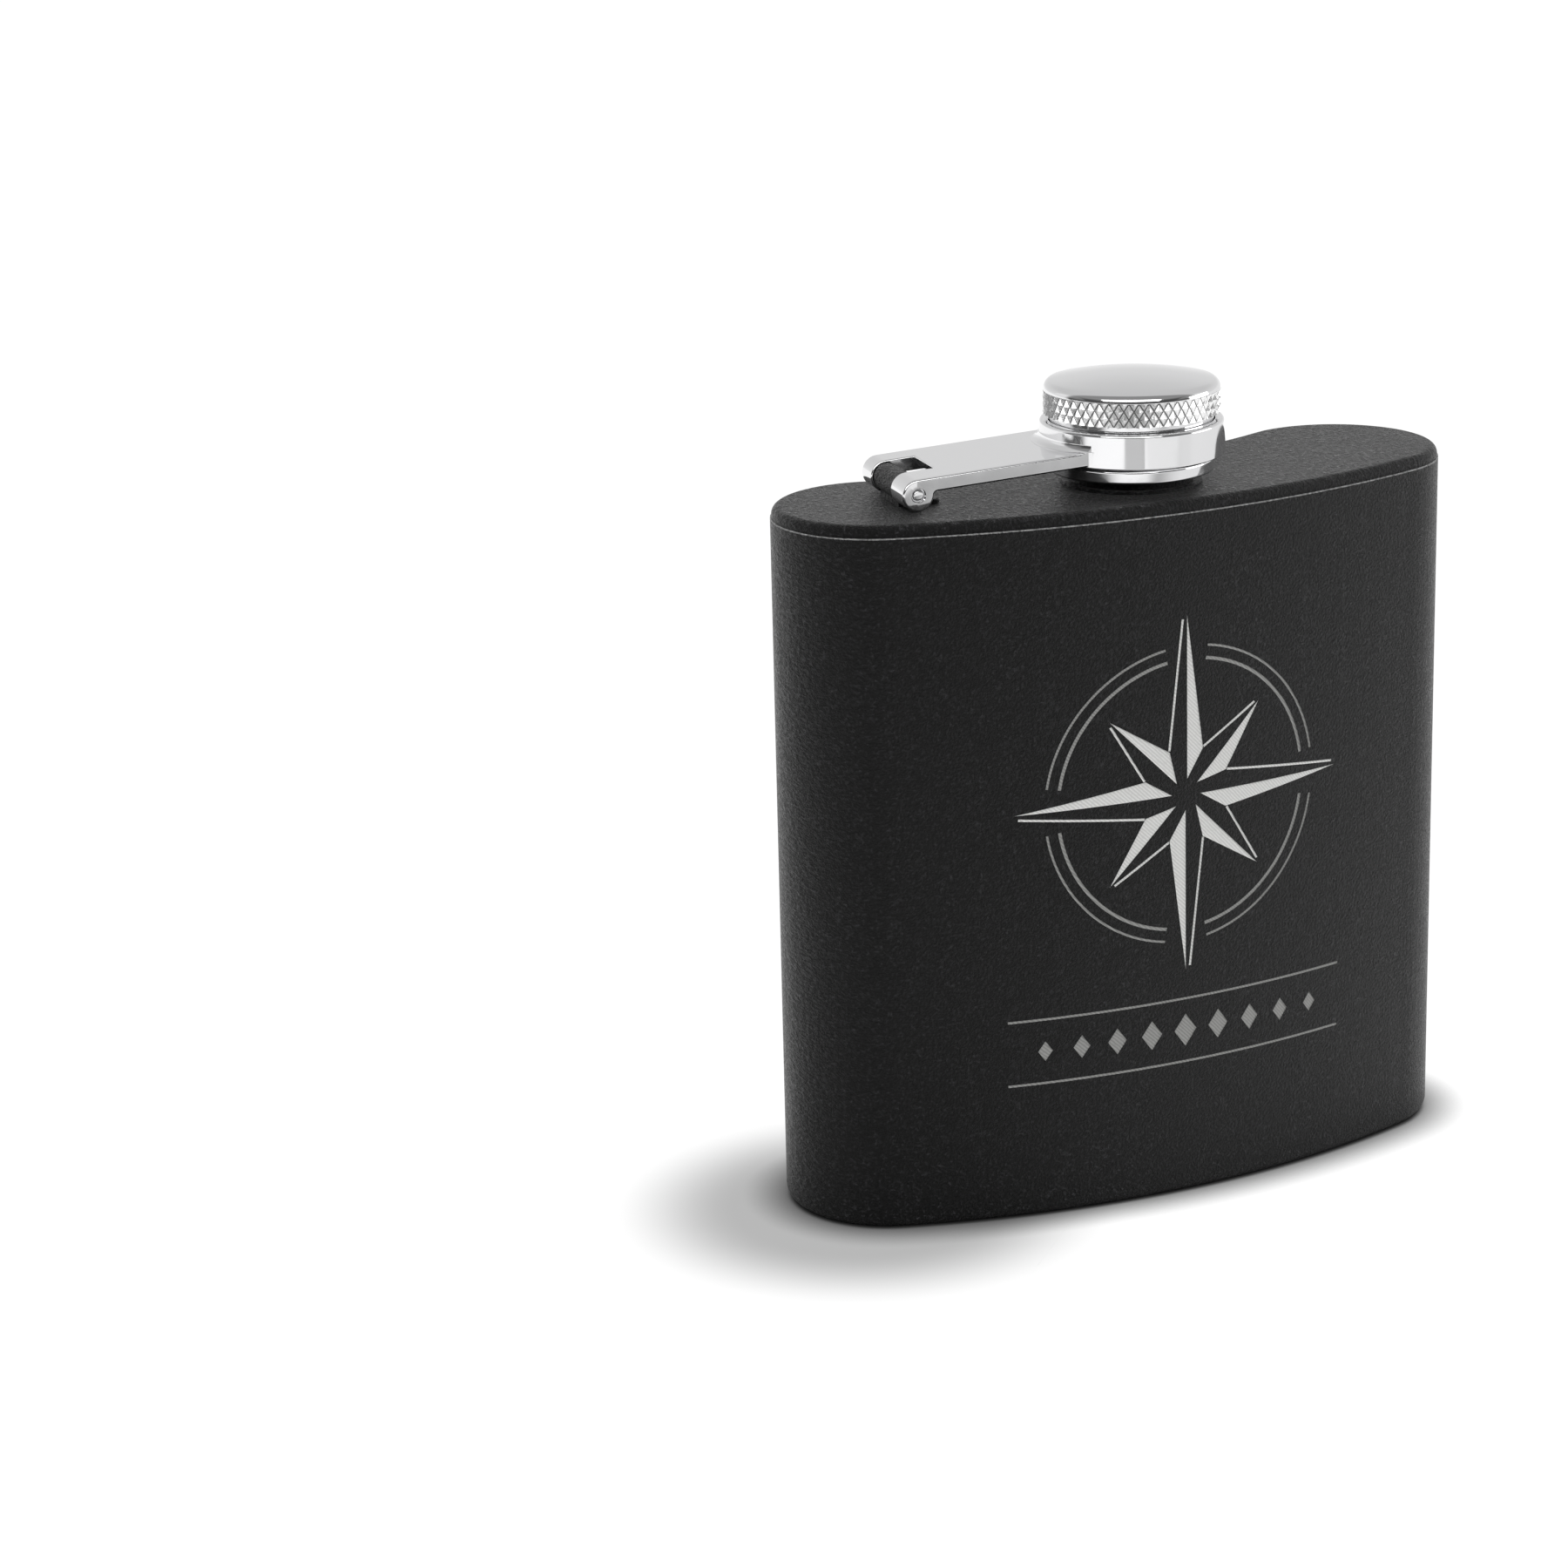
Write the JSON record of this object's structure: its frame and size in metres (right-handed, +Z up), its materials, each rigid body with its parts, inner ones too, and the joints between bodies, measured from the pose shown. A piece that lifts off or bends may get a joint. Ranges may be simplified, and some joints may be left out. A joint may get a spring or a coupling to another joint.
{
  "type": "hip flask",
  "caption": "Kidney-section pocket flask with coated body, threaded spout and captive knurled screw cap on a hinged arm.",
  "frame": {"origin": "middle of the footprint, on the standing face", "axes": "+Z up through the spout, -Y out of the convex front, +Y out of the concave back, -X toward the arm's hinge"},
  "size_m": [0.092, 0.0318, 0.1042],
  "materials": {
    "coated_steel": "matte black powder coat with a fine leather-like grain",
    "polished_steel": "mirror-polished stainless steel",
    "bare_steel": "turned stainless steel",
    "seal_rubber": "matte silicone"
  },
  "bodies": {
    "flask": {"body_wall": "coated_steel", "shoulder_plate": "coated_steel", "base_plate": "coated_steel", "neck_tube": "bare_steel", "neck_collar": "coated_steel", "hinge_lug": "coated_steel", "hinge_pin": "polished_steel"},
    "arm": {"cap_arm": "polished_steel", "swivel_ring": "polished_steel"},
    "cap": {"cap_head": "polished_steel", "cap_sleeve": "polished_steel", "cap_gasket": "seal_rubber"}
  },
  "joints": [
    {"name": "arm_swing", "type": "hinge", "parent": "flask", "child": "arm", "pos_m": [-0.0304, 0.00195, 0.09262], "axis": [-0.1368, -0.9906, 0], "range_deg": [0, 175]},
    {"name": "cap_spin", "type": "hinge", "parent": "arm", "child": "cap", "pos_m": [0, -0.00224, 0.1], "axis": [0, 0, 1], "continuous": true}
  ]
}
